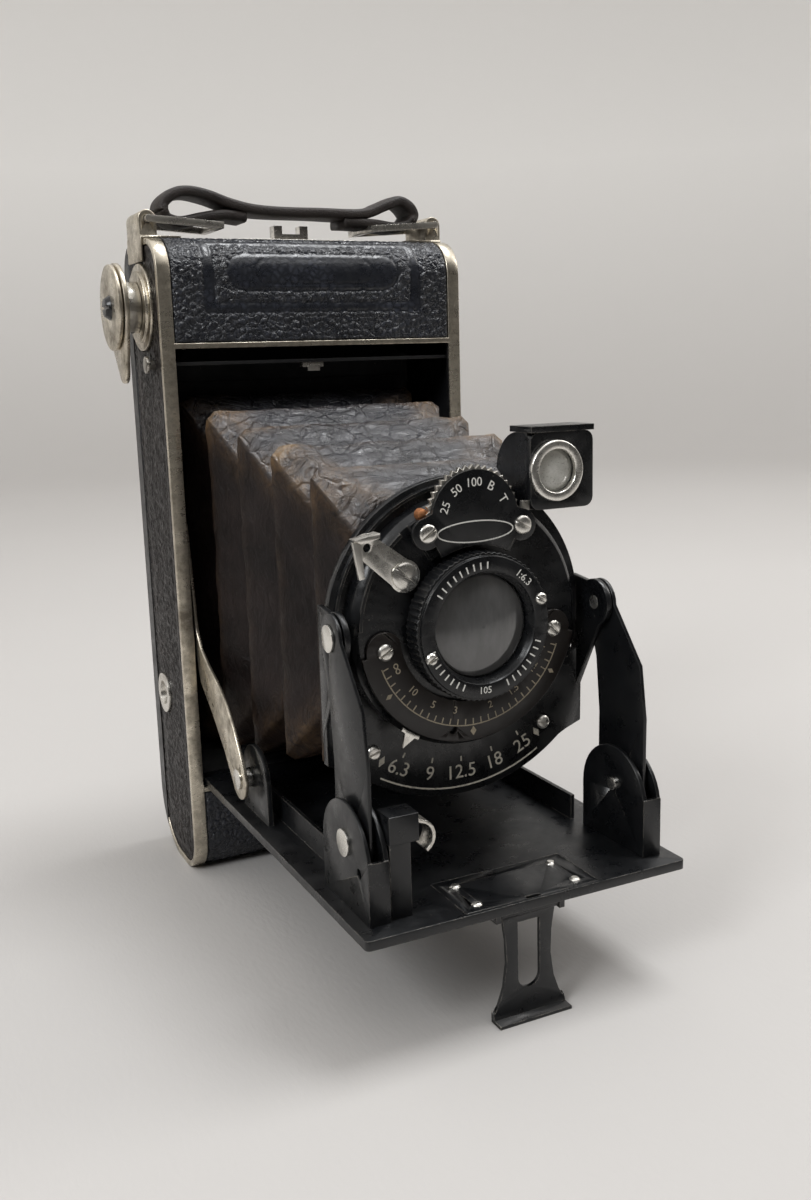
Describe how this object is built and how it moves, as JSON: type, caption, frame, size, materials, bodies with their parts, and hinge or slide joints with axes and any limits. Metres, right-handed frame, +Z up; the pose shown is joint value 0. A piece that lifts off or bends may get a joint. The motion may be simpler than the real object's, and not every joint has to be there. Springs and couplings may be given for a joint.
{
  "type": "folding roll-film camera",
  "caption": "Self-erecting folding roll-film camera with a drop bed, tapered leather bellows, leaf shutter and reflecting finder.",
  "frame": {"origin": "middle of the body's base, on the surface that it stands on", "axes": "+X to the right seen from the lens side, -Y towards the lens side, +Z up"},
  "size_m": [0.0897, 0.1306, 0.1711],
  "materials": {
    "japanned_steel": "semi-gloss black enamel, worn at the edges",
    "worn_nickel": "satin, worn and tarnished nickel plate",
    "embossed_leather": "matt, pebble-grained",
    "bellows_leather": "matt, rubbed along the folds",
    "strap_leather": "matt, dry",
    "cast_black": "matt black",
    "spool_black": "semi-gloss",
    "bright_steel": "polished",
    "spring_steel": "brushed",
    "ruby_window": "gloss",
    "brown_enamel": "satin, rubbed",
    "optical_glass": "clear, coated by age",
    "finder_glass": "dusty",
    "blued_steel": "blued steel, satin"
  },
  "bodies": {
    "body": {"body_shell": "japanned_steel", "front_rim": "worn_nickel", "body_leathers": "embossed_leather", "gate_frame": "cast_black", "spool_pins": "worn_nickel", "key_escutcheon": "worn_nickel", "bed_catch": "worn_nickel", "tripod_bush": "worn_nickel", "latch_plate": "worn_nickel", "strap_lugs": "worn_nickel", "strap_loops": "worn_nickel", "carry_strap": "strap_leather", "hinge_pins": "bright_steel", "bellows": "bellows_leather"},
    "back": {"back_cover": "japanned_steel", "back_leather": "embossed_leather", "pressure_plate": "cast_black", "pressure_springs": "spring_steel", "red_window": "ruby_window", "window_frame": "worn_nickel"},
    "blind": {"window_cover": "japanned_steel"},
    "bed": {"bed_plate": "japanned_steel", "bed_leather": "embossed_leather", "bracket_left": "japanned_steel", "bracket_right": "japanned_steel", "bed_rivets": "worn_nickel", "foot_plate": "japanned_steel", "foot_pin": "bright_steel"},
    "lock": {"strut_lock": "japanned_steel", "lock_leaf": "worn_nickel"},
    "foot": {"foot": "japanned_steel"},
    "struts": {"strut_left": "japanned_steel", "strut_right": "japanned_steel"},
    "standard": {"strut_rivets": "worn_nickel", "standard_plate": "japanned_steel", "shutter_case": "japanned_steel", "shutter_blades": "blued_steel", "speed_plate": "japanned_steel", "shutter_screws": "worn_nickel", "distance_plate": "brown_enamel", "finder_body": "japanned_steel", "finder_ring": "worn_nickel", "finder_lens": "finder_glass", "finder_bracket": "worn_nickel"},
    "stays": {"brace_left": "worn_nickel", "brace_right": "worn_nickel"},
    "focus": {"focus_ring": "japanned_steel", "front_lens": "optical_glass"},
    "speed": {"speed_wheel": "worn_nickel"},
    "lever": {"cocking_lever": "worn_nickel"},
    "aperture": {"aperture_pointer": "worn_nickel"},
    "key": {"key_shaft": "worn_nickel", "key_wing": "worn_nickel", "key_screw": "japanned_steel", "takeup_spool": "spool_black"},
    "supply": {"supply_spool": "spool_black"},
    "top_roller": {"roller_top": "bright_steel"},
    "bottom_roller": {"roller_bottom": "bright_steel"},
    "release": {"release_button": "worn_nickel"},
    "latch": {"back_latch": "worn_nickel"}
  },
  "joints": [
    {"name": "bed_fold", "type": "hinge", "parent": "body", "child": "bed", "pos_m": [0, -0.011, 0.029], "axis": [-1, 0, 0], "range_deg": [0, 90], "deforming": ["bellows"]},
    {"name": "strut_fold", "type": "hinge", "parent": "bed", "child": "struts", "pos_m": [0, -0.099, 0.039], "axis": [-1, 0, 0], "range_deg": [0, 87]},
    {"name": "standard_level", "type": "hinge", "parent": "struts", "child": "standard", "pos_m": [0, -0.0915, 0.0773], "axis": [-1, 0, 0], "range_deg": [-177, 0]},
    {"name": "stay_fold", "type": "hinge", "parent": "bed", "child": "stays", "pos_m": [0, -0.043, 0.0345], "axis": [-1, 0, 0], "range_deg": [-123, 0]},
    {"name": "foot_fold", "type": "hinge", "parent": "bed", "child": "foot", "pos_m": [0, -0.1111, 0.0227], "axis": [1, 0, 0], "range_deg": [0, 88]},
    {"name": "lock_slide", "type": "slide", "parent": "bed", "child": "lock", "axis": [1, 0, 0], "range_m": [0, 0.0015], "stiffness_N_per_m": 300, "springref_m": -0.0005},
    {"name": "back_open", "type": "hinge", "parent": "body", "child": "back", "pos_m": [0, 0.0131, 0.0049], "axis": [-1, 0, 0], "range_deg": [0, 90]},
    {"name": "blind_slide", "type": "slide", "parent": "back", "child": "blind", "axis": [0, 0, 1], "range_m": [0, 0.0084]},
    {"name": "key_turn", "type": "hinge", "parent": "body", "child": "key", "pos_m": [-0.041, 0.0006, 0.1432], "axis": [-1, 0, 0], "continuous": true},
    {"name": "supply_turn", "type": "hinge", "parent": "body", "child": "supply", "pos_m": [0, 0.0006, 0.0162], "axis": [-1, 0, 0], "continuous": true},
    {"name": "roller_top_turn", "type": "hinge", "parent": "body", "child": "top_roller", "pos_m": [0, 0.009, 0.1226], "axis": [-1, 0, 0], "continuous": true},
    {"name": "roller_bottom_turn", "type": "hinge", "parent": "body", "child": "bottom_roller", "pos_m": [0, 0.009, 0.0315], "axis": [-1, 0, 0], "continuous": true},
    {"name": "release_press", "type": "slide", "parent": "body", "child": "release", "axis": [1, 0, 0], "range_m": [0, 0.0009], "stiffness_N_per_m": 300, "springref_m": -0.0005},
    {"name": "latch_slide", "type": "slide", "parent": "body", "child": "latch", "axis": [1, 0, 0], "range_m": [0, 0.0024], "stiffness_N_per_m": 200, "springref_m": -0.0005},
    {"name": "focus_turn", "type": "hinge", "parent": "standard", "child": "focus", "pos_m": [0, -0.094, 0.0763], "axis": [0, -1, 0], "range_deg": [-30, 150]},
    {"name": "speed_turn", "type": "hinge", "parent": "standard", "child": "speed", "pos_m": [0, -0.0915, 0.0978], "axis": [0, -1, 0], "range_deg": [-40, 40]},
    {"name": "lever_press", "type": "hinge", "parent": "standard", "child": "lever", "pos_m": [-0.0151, -0.091, 0.0876], "axis": [0, -1, 0], "range_deg": [0, 22], "stiffness_Nm_per_rad": 0.005, "springref_deg": -8.59},
    {"name": "aperture_move", "type": "hinge", "parent": "standard", "child": "aperture", "pos_m": [0, -0.09, 0.0763], "axis": [0, -1, 0], "range_deg": [0, 66]}
  ],
  "couplings": [
    {"joint": "strut_fold", "follows": "bed_fold", "ratio": 0.96},
    {"joint": "standard_level", "follows": "bed_fold", "ratio": -1.96},
    {"joint": "stay_fold", "follows": "bed_fold", "ratio": -1.358}
  ]
}
